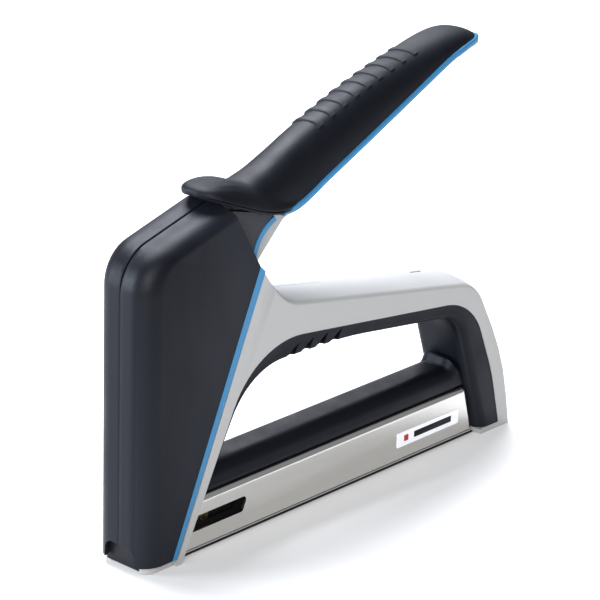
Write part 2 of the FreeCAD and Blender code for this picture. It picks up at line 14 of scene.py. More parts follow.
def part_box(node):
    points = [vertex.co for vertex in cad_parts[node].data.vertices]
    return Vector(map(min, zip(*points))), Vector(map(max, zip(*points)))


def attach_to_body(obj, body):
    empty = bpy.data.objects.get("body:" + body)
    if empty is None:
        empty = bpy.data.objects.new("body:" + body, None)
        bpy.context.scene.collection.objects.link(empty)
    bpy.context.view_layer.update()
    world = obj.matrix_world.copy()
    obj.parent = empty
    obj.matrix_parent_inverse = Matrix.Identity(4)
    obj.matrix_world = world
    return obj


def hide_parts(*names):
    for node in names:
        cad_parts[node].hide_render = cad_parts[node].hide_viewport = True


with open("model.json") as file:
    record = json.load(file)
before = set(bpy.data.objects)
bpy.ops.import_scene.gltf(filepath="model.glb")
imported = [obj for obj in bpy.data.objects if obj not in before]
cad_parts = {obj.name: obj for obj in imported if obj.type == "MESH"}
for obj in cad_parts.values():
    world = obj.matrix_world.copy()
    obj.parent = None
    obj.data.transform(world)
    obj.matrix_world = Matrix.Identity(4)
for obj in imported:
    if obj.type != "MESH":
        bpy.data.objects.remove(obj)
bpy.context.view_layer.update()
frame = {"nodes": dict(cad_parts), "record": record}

MM = 0.001
TOOL_LENGTH = 210 * MM
NOSE_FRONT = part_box("frame_left")[1].x - TOOL_LENGTH
NODES = frame["nodes"]


def point(station, height, across=0.0):
    return Vector((NOSE_FRONT + station * MM, across * MM, height * MM))


# ---------------------------------------------------------------- outlines

ARC_STEP = 5  # degrees from one point of a rounded corner to the next
FEWEST_ARC_STEPS = 3
SMALLEST_RADIUS = 0.05
PARALLEL = 1e-6  # two edges are in line if their directions cross less than this


def arc_steps(turn):
    return max(FEWEST_ARC_STEPS, int(math.degrees(turn) / ARC_STEP))


def rounded(corners, shift=None):
    """Points round a closed ring of (station, height[, radius]) corners.

    shift gives each edge's inward offset in mm, edge i running from corner i to the next. The number of
    points doesn't depend on the shift, so two rings of the same corners can be bridged.
    """
    count = len(corners)
    shift = shift or [0.0] * count
    base = [Vector(c[:2]) for c in corners]
    area = sum(a.x * b.y - b.x * a.y for a, b in zip(base, base[1:] + base[:1]))
    inward = 1 if area > 0 else -1
    lines = []
    for i in range(count):
        direction = (base[(i + 1) % count] - base[i]).normalized()
        normal = Vector((-direction.y, direction.x)) * inward
        lines.append((base[i] + normal * shift[i], direction))
    moved = []
    for i in range(count):
        (p, u), (q, v) = lines[i - 1], lines[i]
        cross = u.x * v.y - u.y * v.x
        if abs(cross) < PARALLEL:
            moved.append(q.copy())
        else:
            moved.append(p + u * (((q - p).x * v.y - (q - p).y * v.x) / cross))
    points = []
    for i, corner in enumerate(corners):
        radius = corner[2] if len(corner) > 2 else 0
        if not radius:
            points.append(moved[i])
            continue
        u, v = lines[i - 1][1], lines[i][1]
        turn = u.angle(v)
        convex = (u.x * v.y - u.y * v.x) * inward > 0
        inset = min(shift[i - 1], shift[i])
        radius = max(SMALLEST_RADIUS, radius - inset if convex else radius + inset)
        reach = radius * math.tan(turn / 2)
        side = Vector((-u.y, u.x)) * (inward if convex else -inward)
        centre = moved[i] - u * reach + side * radius
        steps = arc_steps(turn)
        first = moved[i] - u * reach - centre
        spin = turn * (1 if u.x * v.y - u.y * v.x > 0 else -1)
        for step in range(steps + 1):
            points.append(centre + Matrix.Rotation(spin * step / steps, 2) @ first)
    return points


def wall_edges(corners):
    """For each point of a rounded ring, its wall's edge; an arc belongs to the edge after it."""
    owners = []
    for i, corner in enumerate(corners):
        if len(corner) > 2 and corner[2]:
            before = Vector(corner[:2]) - Vector(corners[i - 1][:2])
            after = Vector(corners[(i + 1) % len(corners)][:2]) - Vector(corner[:2])
            owners += [i] * (arc_steps(before.angle(after)) + 1)
        else:
            owners.append(i)
    return owners


def flags(corners, *edges):
    return [1 if i in edges else 0 for i in range(len(corners))]


CROWN_STEPS = 4


def side_layers(width, start, rounds, count=10):
    """Layers from start to a side face at width.

    rounds are (flags, half_width, radius, crown): a flagged edge drops by crown towards its half width, and
    then by a quarter round of radius.
    """
    stops = {start, width}
    for _, half, radius, _ in rounds:
        flat = half - radius
        stops |= {start + (flat - start) * step / CROWN_STEPS for step in range(CROWN_STEPS + 1)}
        stops |= {flat + radius * math.sin(math.pi / 2 * step / count) for step in range(count + 1)}
    layers = []
    for across in sorted({round(stop, 4) for stop in stops}):
        shifts = [0.0] * len(rounds[0][0])
        for chosen, half, radius, crown in rounds:
            over = min(radius, max(0.0, across - (half - radius)))
            drop = crown * (across / half) ** 2 + radius - math.sqrt(radius ** 2 - over ** 2)
            shifts = [shift + flag * drop for shift, flag in zip(shifts, chosen)]
        layers.append((across, shifts))
    return layers


def two_sided(layers):
    """The same layers on both sides of the centre plane, from left to right."""
    return [(-across, shifts) for across, shifts in reversed(layers) if across > 0] + layers


# ---------------------------------------------------------------- meshes

def new_piece(name, data):
    piece = bpy.data.objects.new(name, data)
    bpy.context.scene.collection.objects.link(piece)
    return piece


def assembled(name, maker):
    """A plain object from a bmesh, to be worked on before it is attached."""
    bmesh.ops.recalc_face_normals(maker, faces=maker.faces)
    mesh = bpy.data.meshes.new(name)
    maker.to_mesh(mesh)
    maker.free()
    return new_piece(name, mesh)


def slab(corners, layers, skip=(), capped=True):
    """A bmesh whose cross-section follows layers of (across, inward shift of each edge).

    Edges named in skip get no wall, and capped closes both ends, so an uncapped slab is an open sheet.
    """
    maker = bmesh.new()
    rings = []
    for across, shifts in layers:
        rings.append([maker.verts.new(point(p.x, p.y, across)) for p in rounded(corners, shifts)])
    walls = wall_edges(corners)
    for low, high in zip(rings, rings[1:]):
        for i in range(len(low)):
            if walls[i] in skip:
                continue
            j = (i + 1) % len(low)
            maker.faces.new((low[i], low[j], high[j], high[i]))
    maker.faces.new(rings[-1])
    if capped:
        maker.faces.new(rings[0])
    return maker


def skinned(name, rings):
    """A closed object through rings of points, with a face over each end."""
    maker = bmesh.new()
    loops = [[maker.verts.new(place) for place in ring] for ring in rings]
    for low, high in zip(loops, loops[1:]):
        for i in range(len(low)):
            j = (i + 1) % len(low)
            maker.faces.new((low[i], low[j], high[j], high[i]))
    maker.faces.new(loops[0])
    maker.faces.new(loops[-1])
    return assembled(name, maker)


def loft(name, stations, section):
    """A closed object whose section(station) gives (across, height) points at each station."""
    return skinned(name, [[point(s, height, across) for across, height in section(s)] for s in stations])


def mirrored(maker):
    """Turns a right-hand bmesh into the left-hand one."""
    for vert in maker.verts:
        vert.co.y = -vert.co.y


def apply_modifiers(piece):
    depsgraph = bpy.context.evaluated_depsgraph_get()
    mesh = bpy.data.meshes.new_from_object(piece.evaluated_get(depsgraph))
    piece.modifiers.clear()
    piece.data = mesh


def combine(piece, tool, operation, self_crossing=False):
    """Cuts tool from piece or adds it, and removes tool."""
    change = piece.modifiers.new("combine", "BOOLEAN")
    change.operation = operation
    change.solver = "EXACT"
    change.use_self = self_crossing
    change.object = tool
    apply_modifiers(piece)
    bpy.data.objects.remove(tool)


def carve(piece, tool, self_crossing=False):
    combine(piece, tool, "DIFFERENCE", self_crossing)


def cutter(corners, low, high):
    """A cutter with a (station, height) outline, from one position across to another."""
    flat = [0.0] * len(corners)
    return assembled("cutter", slab(corners, [(low, flat), (high, flat)]))


def ring_cutter(corners, start, end):
    """A cutter with an (across, height) outline that runs from one station to another."""
    return loft("cutter", (start, end), lambda station: [(p.x, p.y) for p in rounded(corners)])


def attach(piece, body, material, nodes=(), sharp=35):
    """Shades and finishes a piece, and hands it to its body; sharp is in degrees."""
    mesh = piece.data
    mesh.polygons.foreach_set("use_smooth", [True] * len(mesh.polygons))
    mesh.set_sharp_from_angle(angle=math.radians(sharp))
    mesh.materials.clear()
    mesh.materials.append(material)
    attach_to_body(piece, body)
    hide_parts(*nodes)


# ---------------------------------------------------------------- materials

MOTTLE_SCALE = 60.0
MOTTLE_DETAIL = 4.0
GRAIN_DETAIL = 3.0
GRAIN_HEIGHT = 0.0002
COAT_ROUGHNESS = 0.25
WEAR_RANGE = (0.51, 0.60)  # pointiness at which an edge starts to look worn, and is fully worn
SWING_RANGE = (0.3, 0.7)  # the part of the mottling that moves the roughness
SMOOTHEST = 0.02


def node_material(name, base, roughness, metallic=0.0, grain=900.0, depth=0.25, variation=0.06,
                  stretch=(1, 1, 1), rough_swing=0.08, coat=0.0, wear=0.0, wear_color=(0.5, 0.5, 0.5),
                  aniso=0.0, specular=0.5):
    """A procedural finish: colour mottling, roughness variation, fine bump and light wear along edges."""
    material = bpy.data.materials.new(name)
    material.use_nodes = True
    tree = material.node_tree
    shader = tree.nodes["Principled BSDF"]
    shader.inputs["Metallic"].default_value = metallic
    shader.inputs["Coat Weight"].default_value = coat
    shader.inputs["Coat Roughness"].default_value = COAT_ROUGHNESS
    shader.inputs["Anisotropic"].default_value = aniso
    shader.inputs["Specular IOR Level"].default_value = specular

    def make(kind, **values):
        item = tree.nodes.new(kind)
        for key, value in values.items():
            setattr(item, key, value)
        return item

    def noise(scale, detail, source):
        item = make("ShaderNodeTexNoise")
        item.inputs["Scale"].default_value = scale
        item.inputs["Detail"].default_value = detail
        tree.links.new(source, item.inputs["Vector"])
        return item

    place = make("ShaderNodeTexCoord")
    mapping = make("ShaderNodeMapping")
    mapping.inputs["Scale"].default_value = stretch
    tree.links.new(place.outputs["Object"], mapping.inputs["Vector"])
    broad = noise(MOTTLE_SCALE, MOTTLE_DETAIL, mapping.outputs["Vector"])
    fine = noise(grain, GRAIN_DETAIL, mapping.outputs["Vector"])

    tint = make("ShaderNodeMix", data_type="RGBA")
    tint.inputs["A"].default_value = (*[c * (1 - variation) for c in base], 1)
    tint.inputs["B"].default_value = (*[min(1, c * (1 + variation)) for c in base], 1)
    tree.links.new(broad.outputs["Fac"], tint.inputs["Factor"])
    colour = tint.outputs["Result"]
    if wear:
        geometry = make("ShaderNodeNewGeometry")
        edge = make("ShaderNodeMapRange")
        edge.inputs["From Min"].default_value = WEAR_RANGE[0]
        edge.inputs["From Max"].default_value = WEAR_RANGE[1]
        edge.inputs["To Max"].default_value = wear
        tree.links.new(geometry.outputs["Pointiness"], edge.inputs["Value"])
        worn = make("ShaderNodeMix", data_type="RGBA")
        worn.inputs["B"].default_value = (*wear_color, 1)
        tree.links.new(edge.outputs["Result"], worn.inputs["Factor"])
        tree.links.new(colour, worn.inputs["A"])
        colour = worn.outputs["Result"]
    tree.links.new(colour, shader.inputs["Base Color"])

    swing = make("ShaderNodeMapRange")
    swing.inputs["From Min"].default_value = SWING_RANGE[0]
    swing.inputs["From Max"].default_value = SWING_RANGE[1]
    swing.inputs["To Min"].default_value = max(SMOOTHEST, roughness - rough_swing)
    swing.inputs["To Max"].default_value = min(1.0, roughness + rough_swing)
    tree.links.new(broad.outputs["Fac"], swing.inputs["Value"])
    tree.links.new(swing.outputs["Result"], shader.inputs["Roughness"])

    bump = make("ShaderNodeBump")
    bump.inputs["Strength"].default_value = depth
    bump.inputs["Distance"].default_value = GRAIN_HEIGHT
    tree.links.new(fine.outputs["Fac"], bump.inputs["Height"])
    tree.links.new(bump.outputs["Normal"], shader.inputs["Normal"])
    return material


INK = (0.0032, 0.0042, 0.0085)
BLUE = (0.036, 0.185, 0.345)
# material slot, base colour, roughness, what differs from node_material's own values
FINISHES = (
    ("cast_alloy", (0.375, 0.375, 0.37), 0.5,
     {"metallic": 0.1, "grain": 1400, "depth": 0.12, "variation": 0.03, "rough_swing": 0.06}),
    ("black_plastic", INK, 0.44,
     {"grain": 2200, "depth": 0.3, "stretch": (1.6, 1.6, 0.5), "wear": 0.10, "wear_color": (0.10, 0.11, 0.14),
      "specular": 0.22}),
    ("blue_plastic", BLUE, 0.4, {"grain": 1600, "depth": 0.15}),
    ("black_rubber", INK, 0.5,
     {"grain": 2600, "depth": 0.4, "variation": 0.12, "wear": 0.12, "wear_color": (0.09, 0.10, 0.12),
      "specular": 0.24}),
    ("dark_grey_plastic", (0.032, 0.032, 0.042), 0.62, {"grain": 1500, "depth": 0.9, "variation": 0.35}),
    ("stainless", (0.64, 0.63, 0.605), 0.2,
     {"metallic": 1.0, "grain": 500, "depth": 0.05, "variation": 0.04, "stretch": (0.12, 1, 6),
      "rough_swing": 0.04, "aniso": 0.3}),
    ("steel", (0.50, 0.50, 0.51), 0.34,
     {"metallic": 1.0, "grain": 900, "depth": 0.15, "variation": 0.06, "wear": 0.3}),
    ("spring_steel", (0.34, 0.34, 0.36), 0.3,
     {"metallic": 1.0, "grain": 1200, "depth": 0.2, "variation": 0.08}),
    ("bronze", (0.52, 0.35, 0.16), 0.35, {"metallic": 1.0, "grain": 1500, "depth": 0.3, "variation": 0.1}),
    ("brass_wire", (0.68, 0.55, 0.30), 0.28,
     {"metallic": 1.0, "grain": 1500, "depth": 0.15, "variation": 0.1}),
    ("label_white", (0.82, 0.83, 0.86), 0.3, {"grain": 1200, "depth": 0.05, "variation": 0.02, "coat": 0.4}),
)
FINISH = {name: node_material(name, base, roughness, **more) for name, base, roughness, more in FINISHES}
BLACKENED = node_material("blackened_steel", (0.02, 0.02, 0.023), 0.5, metallic=0.6, grain=1100, depth=0.3,
                          variation=0.15)
RED_PRINT = node_material("red_print", (0.42, 0.03, 0.03), 0.35, grain=1200, depth=0.05, variation=0.05)

DARKENED = ("guide_plate", "striker_blade", "staple_channel", "pusher", "track_rail")
SLOTS = {part["node"]: part["material_slot"] for part in frame["record"]["subparts"]}
for node, item in NODES.items():
    item.data.materials.clear()
    item.data.materials.append(BLACKENED if node in DARKENED else FINISH[SLOTS[node]])


# ---------------------------------------------------------------- nose covers

COVER = [(0, 2.8), (0.9, 121.0, 17), (44.6, 133.0), (59.4, 107.0), (14.6, 2.8)]
COVER_OPEN_EDGES = (2, 3, 4)
FRONT_ROUND = 9.2
TOP_ROUND = 5.8
ROUND_STEPS = 16
COVER_HALF = 13.5
COVER_FLAT = 5.0
COVER_WALL = 1.5
# across, inward shift of the top edge, inward shift of the front edge
SEAM = ((0.03, 1.25, 0.14), (0.26, 1.15, 0.10), (0.34, 0.22, 0.05), (0.62, 0.0, 0.0))
BESIDE_SEAM = (2.0, 3.5)
COVER_NOTCH = [(-7.6, -2), (-7.6, 10.0, 4), (7.6, 10.0, 4), (7.6, -2)]
COVER_NOTCH_START, COVER_NOTCH_END = -3, 6


def nose_cover(side):
    """One moulded shell: rounded front and top edges, a parting groove on the centre plane."""
    layers = [(across, [front, top, 0, 0, 0]) for across, top, front in SEAM]
    layers += [(across, [0.0] * len(COVER)) for across in BESIDE_SEAM]
    for step in range(ROUND_STEPS + 1):
        angle = math.pi / 2 * step / ROUND_STEPS
        share = 1 - math.cos(angle)
        across = COVER_FLAT + (COVER_HALF - COVER_FLAT) * math.sin(angle)
        layers.append((across, [FRONT_ROUND * share, TOP_ROUND * share, 0, 0, 0]))
    maker = slab(COVER, layers, skip=COVER_OPEN_EDGES, capped=False)
    if side == "left":
        mirrored(maker)
    piece = assembled("nose_shell_" + side, maker)
    cap = max(piece.data.polygons, key=lambda face: face.area)
    if cap.normal.y * (1 if side == "right" else -1) < 0:
        piece.data.flip_normals()
    wall = piece.modifiers.new("wall", "SOLIDIFY")
    wall.thickness = COVER_WALL * MM
    wall.offset = -1
    apply_modifiers(piece)
    carve(piece, ring_cutter(COVER_NOTCH, COVER_NOTCH_START, COVER_NOTCH_END), self_crossing=True)
    attach(piece, "body", FINISH["black_plastic"], ["nose_cover_" + side])


# ---------------------------------------------------------------- frame halves

FRAME = [
    (1.5, 0), (2.4, 119.4, 15.5), (43.6, 130.9), (62.4, 102.9, 16), (72.7, 91.3, 20), (183.9, 70.3, 20),
    (204.9, 30.4, 110), (210.0, 0), (190.8, 0, 0.8), (190.8, 2.2), (202.6, 2.2), (197.0, 25.8, 90),
    (183.1, 60.5, 28), (57.7, 77.3, 36), (19.6, 0, 0.8),
]
FRAME_HALF = 13.5
NOSE_HALF = 12.0
# edges of FRAME, half width there, edge radius, crown
FRAME_ROUNDS = [
    (flags(FRAME, 4), FRAME_HALF, 1.3, 2.7),
    (flags(FRAME, 3, 5, 6), FRAME_HALF, 0.9, 0.45),
    (flags(FRAME, 0, 1), NOSE_HALF, 6.5, 0.0),
]
COVER_STEP = [(-5, -2), (-5, 140), (38.5, 140), (62.1, 104.4), (15.9, -2)]
MECHANISM_BAY = [
    (7.4, -2), (7.4, 109, 3), (22, 114), (22, 145), (72, 145), (72, 82.2, 3), (58, 79.6, 6), (44, 74, 6),
    (29, 24), (29, 22.3), (60, 22.3), (60, -2),
]
BLADE_BAY = [(3.1, -2), (3.8, 118.3, 14), (30, 125.2), (30, -2)]
LEVER_SLOT = [(60, 83.5), (60, 145), (78.2, 145), (78.2, 85.5, 2)]
TRACK_PASSAGE = [(180, 2.4), (180, 18.9), (220, 18.9), (220, 2.4)]
CROWN_SEAM = [(81, 89.3), (107, 84.0), (107, 87), (81, 93)]
CROWN_SLIT = [(159.5, 73.6), (166.0, 72.3), (166.0, 77), (159.5, 77)]
BAY_HALF = 10.85
TRACK_HALF = 8.3
PAST_CENTRE = -1.0
PAST_SIDE = 15.0
# outline, from and to across
FRAME_CUTS = (
    (COVER_STEP, NOSE_HALF, PAST_SIDE),
    (MECHANISM_BAY, PAST_CENTRE, BAY_HALF),
    (BLADE_BAY, PAST_CENTRE, 7.4),
    (LEVER_SLOT, PAST_CENTRE, 5.6),
    (TRACK_PASSAGE, PAST_CENTRE, TRACK_HALF),
    (CROWN_SEAM, PAST_CENTRE, 0.16),
    (CROWN_SLIT, PAST_CENTRE, 0.55),
)
NOTCH_REACH = {"left": 8.6, "right": 12.6}
NOTCH_TOP = 12
NOTCH_RADIUS = 3
NOTCH_START, NOTCH_END = -2, 3.4
SCREWS = [(50, 68), (89, 80.4), (125, 75.2), (171, 67.2), (198.9, 30)]
SCREW_RADIUS = 3.1
SCREW_FLOOR, SCREW_TOP = 11.3, 14.5
SCREW_SIDES = 40


def frame_half(side):
    """One die-cast half: domed grip crown with a crisp edge, softer neck and rear leg, rounded nose."""
    piece = assembled("frame_casting_" + side, slab(FRAME, side_layers(FRAME_HALF, 0.02, FRAME_ROUNDS)))
    for outline, low, high in FRAME_CUTS:
        carve(piece, cutter(outline, low, high))
    reach = NOTCH_REACH[side]
    notch = [(-reach, -2), (-reach, NOTCH_TOP, NOTCH_RADIUS), (reach, NOTCH_TOP, NOTCH_RADIUS), (reach, -2)]
    carve(piece, ring_cutter(notch, NOTCH_START, NOTCH_END))
    if side == "right":
        for station, height in SCREWS:
            carve(piece, screw_cutter(station, height))
    else:
        for vert in piece.data.vertices:
            vert.co.y = -vert.co.y
        piece.data.flip_normals()
    attach(piece, "body", FINISH["cast_alloy"], ["frame_" + side], sharp=28)


def screw_cutter(station, height):
    """A round pocket for a screw head in the right side face."""
    turns = [2 * math.pi * i / SCREW_SIDES for i in range(SCREW_SIDES)]
    rings = []
    for across in (SCREW_FLOOR, SCREW_TOP):
        rings.append([point(station + SCREW_RADIUS * math.cos(a), height + SCREW_RADIUS * math.sin(a), across)
                      for a in turns])
    return skinned("cutter", rings)


# ---------------------------------------------------------------- hand loop liner and magazine bar

LINER = [
    (20.2, 1.2), (57.7, 77.3, 36), (183.1, 60.5, 28), (197.0, 25.8, 90), (202.6, 2.2), (190.9, 2.2),
    (174.0, 55.4, 14), (110, 64.6, 180), (56.0, 66.4, 30), (21.3, 1.2),
]
LINER_HALF = 13.2
LINER_ROUNDS = [
    (flags(LINER, 5), LINER_HALF, 4.5, 0.4),
    (flags(LINER, 6, 7, 8), LINER_HALF, 2.2, 0.3),
]
NOSE_CLEARANCE = [(10, -2), (10, 22.3), (60, 22.3), (60, -2)]
# station and height of each finger groove, and its two cuts as offsets from there: a wedge in both side
# faces, and a shallow tooth right across
FINGER_GROOVES = [(75.4, 65.4), (83.6, 65.5), (91.6, 65.3), (99.4, 64.8)]
GROOVE = [
    (-0.3, -5.0), (0, 0.9, 0.6), (2.4, 3.4, 3), (6.4, 5.4, 0.2), (3.8, 1.5, 2), (5.4, -0.6), (5.6, -5.0),
]
GROOVE_FLOOR, GROOVE_OUTSIDE = 11.6, 16.0
TOOTH = [(-0.3, -5.0), (0, 1.9, 0.5), (6.2, 0.1), (6.4, -5.0)]
TOOTH_REACH = 17.0


def placed(offsets, station, height):
    return [(station + corner[0], height + corner[1], *corner[2:]) for corner in offsets]


def liner():
    """The soft overmould: rounded towards the fingers, with four saw-tooth finger grooves."""
    layers = two_sided(side_layers(LINER_HALF, 0.0, LINER_ROUNDS))
    piece = assembled("hand_loop_overmould", slab(LINER, layers))
    for station, height in FINGER_GROOVES:
        wedge = placed(GROOVE, station, height)
        carve(piece, cutter(wedge, -GROOVE_OUTSIDE, -GROOVE_FLOOR))
        carve(piece, cutter(wedge, GROOVE_FLOOR, GROOVE_OUTSIDE))
        carve(piece, cutter(placed(TOOTH, station, height), -TOOTH_REACH, TOOTH_REACH))
    carve(piece, cutter(TRACK_PASSAGE, -TRACK_HALF, TRACK_HALF))
    carve(piece, cutter(NOSE_CLEARANCE, -BAY_HALF, BAY_HALF))
    attach(piece, "body", FINISH["black_rubber"], ["hand_loop_liner"], sharp=30)


BAR = [
    (33.2, 22.8), (37.6, 31.4, 3), (175.8, 31.4, 1.2), (177.9, 35.3, 1.3), (180.2, 34.5, 1.5), (183.9, 22.8),
]
BAR_HALF = 9.0
BAR_ROUNDS = [(flags(BAR, 1, 2, 3), BAR_HALF, 5.6, 0.3)]
BAR_FOOT = [(36, 22.0), (36, 24), (180, 24), (180, 22.0)]
BAR_FOOT_HALF = 8.0


def magazine_bar():
    """The plastic bar on the magazine: rounded back with a rib at the rear, on a narrower foot."""
    layers = two_sided(side_layers(BAR_HALF, 0.0, BAR_ROUNDS, count=12))
    piece = assembled("magazine_rail_cap", slab(BAR, layers))
    combine(piece, cutter(BAR_FOOT, -BAR_FOOT_HALF, BAR_FOOT_HALF), "UNION")
    attach(piece, "body", FINISH["black_plastic"], ["magazine_bar"], sharp=32)


# ---------------------------------------------------------------- lever: grip, lip, blue tray, raised bars

# station, top, seam with the blue tray, half width
GRIP = [
    (54, 133.5, 129.5, 9.6),
    (62, 137.4, 126.8, 10.6),
    (70, 139.9, 125.0, 11.2),
    (82, 145.2, 125.6, 11.4),
    (97, 151.4, 132.3, 11.4),
    (124, 160.9, 144.5, 11.3),
    (152, 168.3, 157.2, 11.0),
    (168, 171.2, 164.2, 10.7),
    (178, 171.6, 166.8, 9.9),
    (184, 170.4, 167.0, 8.0),
    (187.4, 168.7, 166.7, 5.8),
    (189.6, 167.0, 166.2, 2.6),
]
GRIP_TOP, GRIP_SEAM, GRIP_HALF = 1, 2, 3
GRIP_FULLNESS = 2.35  # 2 would make the section a half ellipse
# station, crest, rim, underside, half width
LIP = [
    (36.5, 138.7, 138.0, 136.6, 2.6),
    (37.4, 139.5, 138.0, 136.0, 5.4),
    (40, 140.3, 137.1, 134.9, 8.7),
    (45, 140.7, 135.1, 134.0, 11.4),
    (52, 139.7, 132.2, 131.8, 12.9),
    (60, 136.4, 129.0, 129.0, 13.2),
    (68, 132.4, 126.5, 126.6, 13.0),
    (76, 129.6, 125.6, 125.2, 12.3),
    (83, 128.0, 127.0, 126.2, 11.2),
]
LIP_CREST, LIP_RIM, LIP_UNDER, LIP_HALF = 1, 2, 3, 4
LIP_EDGE = 2.3
# the lip's top, as shares of its half width and of its rise from rim to crest
LIP_TOP = [(0.0, 1.0), (0.3, 0.97), (0.58, 0.85), (0.8, 0.62), (0.94, 0.30)]
PARTING_DROP = 1.1
PARTING_WIDTH = 0.45
PARTING_DEPTH = 1.4
SKIN_VOXEL = 0.55
# the skin is smoothed where the grip meets the lip: from and to station and run-in, then the half width,
# the height over the rim where it starts and the rise to full strength
BLEND_START, BLEND_END, BLEND_RUN_IN = 52, 88, 6
BLEND_HALF, BLEND_ABOVE_RIM, BLEND_RISE = 12.4, 1.5, 2


def along(table, station, column):
    """Smooth value of one column of a table of (station, ...) rows, by Hermite spans."""
    if station <= table[0][0]:
        return table[0][column]
    if station >= table[-1][0]:
        return table[-1][column]
    i = next(n for n in range(len(table) - 1) if station <= table[n + 1][0])
    (x0, y0), (x1, y1) = [(table[n][0], table[n][column]) for n in (i, i + 1)]

    def slope(n):
        a, b = table[max(0, n - 1)], table[min(len(table) - 1, n + 1)]
        return (b[column] - a[column]) / (b[0] - a[0])

    span = x1 - x0
    t = (station - x0) / span
    return ((2 * t ** 3 - 3 * t ** 2 + 1) * y0 + (t ** 3 - 2 * t ** 2 + t) * span * slope(i)
            + (3 * t ** 2 - 2 * t ** 3) * y1 + (t ** 3 - t ** 2) * span * slope(i + 1))


def spread(start, end, count):
    return [start + (end - start) * i / count for i in range(count + 1)]


def grip_section(station, proud=0.0, steps=28):
    """(across, height) points of the grip over the seam, from right to left."""
    top, seam, half = [along(GRIP, station, column) for column in (GRIP_TOP, GRIP_SEAM, GRIP_HALF)]
    power = 2 / GRIP_FULLNESS
    points = []
    for step in range(steps + 1):
        angle = math.pi * step / steps
        across = (half + proud) * math.copysign(abs(math.cos(angle)) ** power, math.cos(angle))
        points.append((across, seam + (top + proud - seam) * math.sin(angle) ** power))
    return points


def lip_section(station):
    """(across, height) points round the thumb lip: its domed top, its edge and its flat underside."""
    crest, rim, under, half = [along(LIP, station, column)
                               for column in (LIP_CREST, LIP_RIM, LIP_UNDER, LIP_HALF)]
    rise = crest - rim
    points = [(half * a, rim + rise * b) for a, b in LIP_TOP]
    edge = min(LIP_EDGE, half * 0.5)
    points += [(half, rim), (half, rim - 0.55 * edge), (half - 0.6, rim - edge)]
    points += [(half * 0.75, (rim - edge) * 0.35 + under * 0.65), (half * 0.4, under)]
    return points + [(0.0, under)] + [(-a, b) for a, b in reversed(points[1:])]


def parting_section(station, hand):
    """A thin strip that cuts the parting line of the lip's rim on one side."""
    half = along(LIP, station, LIP_HALF)
    low = along(LIP, station, LIP_RIM) - PARTING_DROP
    near, far = hand * (half - PARTING_DEPTH), hand * (half + 2)
    return [(near, low), (far, low), (far, low + PARTING_WIDTH), (near, low + PARTING_WIDTH)]


def joined(first, second):
    """Adds second's mesh to first's, and removes second."""
    maker = bmesh.new()
    maker.from_mesh(first.data)
    maker.from_mesh(second.data)
    maker.to_mesh(first.data)
    maker.free()
    bpy.data.objects.remove(second)


def blend_weight(vert):
    """How much a vertex of the skin is smoothed: 0 away from the grip's root, 1 in the middle of it."""
    station = (vert.co.x - NOSE_FRONT) / MM
    root = vert.co.z / MM - (along(LIP, station, LIP_RIM) + BLEND_ABOVE_RIM)
    across = abs(vert.co.y) / MM
    if not (BLEND_START < station < BLEND_END and root > 0 and across < BLEND_HALF):
        return 0
    return (min(1, (station - BLEND_START) / BLEND_RUN_IN) * min(1, (BLEND_END - station) / BLEND_RUN_IN)
            * min(1, root / BLEND_RISE))


def lever_grip():
    """Soft grip and thumb lip in one skin: both lofts are joined, remeshed and blended where they meet."""
    grip = loft("lever_overmould", spread(54, 180, 84) + spread(180.6, 189.6, 20), grip_section)
    joined(grip, loft("lip", spread(36.4, 40, 6) + spread(40.8, 83, 52), lip_section))
    skin = grip.modifiers.new("skin", "REMESH")
    skin.mode = "VOXEL"
    skin.voxel_size = SKIN_VOXEL * MM
    apply_modifiers(grip)
    near_root = grip.vertex_groups.new(name="root")
    for vert in grip.data.vertices:
        weight = blend_weight(vert)
        if weight:
            near_root.add([vert.index], weight, "REPLACE")
    blend = grip.modifiers.new("blend", "SMOOTH")
    blend.factor = 0.6
    blend.iterations = 60
    blend.vertex_group = "root"
    soften = grip.modifiers.new("soften", "SMOOTH")
    soften.factor = 0.5
    soften.iterations = 6
    apply_modifiers(grip)
    for hand in (-1, 1):
        carve(grip, loft("parting", spread(38.2, 80, 60), lambda station: parting_section(station, hand)))
    attach(grip, "lever", FINISH["black_rubber"], ["lever_grip"], sharp=60)


TRAY_DEPTH = 2.9
TRAY_LIP = 0.6
TRAY_OVERLAP = 0.7
TRAY_TIP = 192.0
TRAY_SEAM_END = 189.5
TRAY_POWER = 2.2
# in plan the tray follows the grip up to PLAN_SWITCH, and then a rounded tip drawn from PLAN_ROUND
PLAN_SWITCH, PLAN_ROUND, PLAN_HALF = 172, 168, 10.75
SIDE_ROUND = 187.5
RISE_START, RISE_RUN, TRAY_RISE = 182, 6, 0.8


def smooth_step(share):
    share = min(1.0, max(0.0, share))
    return share * share * (3 - 2 * share)


def tip_share(station, start):
    """How far a station is from start to the tray's tip, on the curve that rounds the tip."""
    return 1 - max(0.0, (station - start) / (TRAY_TIP - start)) ** TRAY_POWER


def tray_half(station):
    if station < PLAN_SWITCH:
        return along(GRIP, station, GRIP_HALF) + TRAY_LIP - 0.1
    return max(0.4, (PLAN_HALF + TRAY_LIP) * math.sqrt(max(0.0, tip_share(station, PLAN_ROUND))))


def tray_section(station):
    half = tray_half(station)
    seam = along(GRIP, min(station, TRAY_SEAM_END), GRIP_SEAM) + TRAY_OVERLAP
    low = seam - TRAY_DEPTH
    top = seam + TRAY_RISE * smooth_step((station - RISE_START) / RISE_RUN)
    middle, depth = (top + low) / 2, (top - low) / 2
    depth *= math.sqrt(max(0.02, tip_share(station, SIDE_ROUND)))
    low, top = middle - depth, middle + depth
    soft = min(0.45, half * 0.4)
    right = [(half - soft, low), (half, low + soft), (half, top - soft), (half - soft, top)]
    return right + [(-a, h) for a, h in reversed(right)]


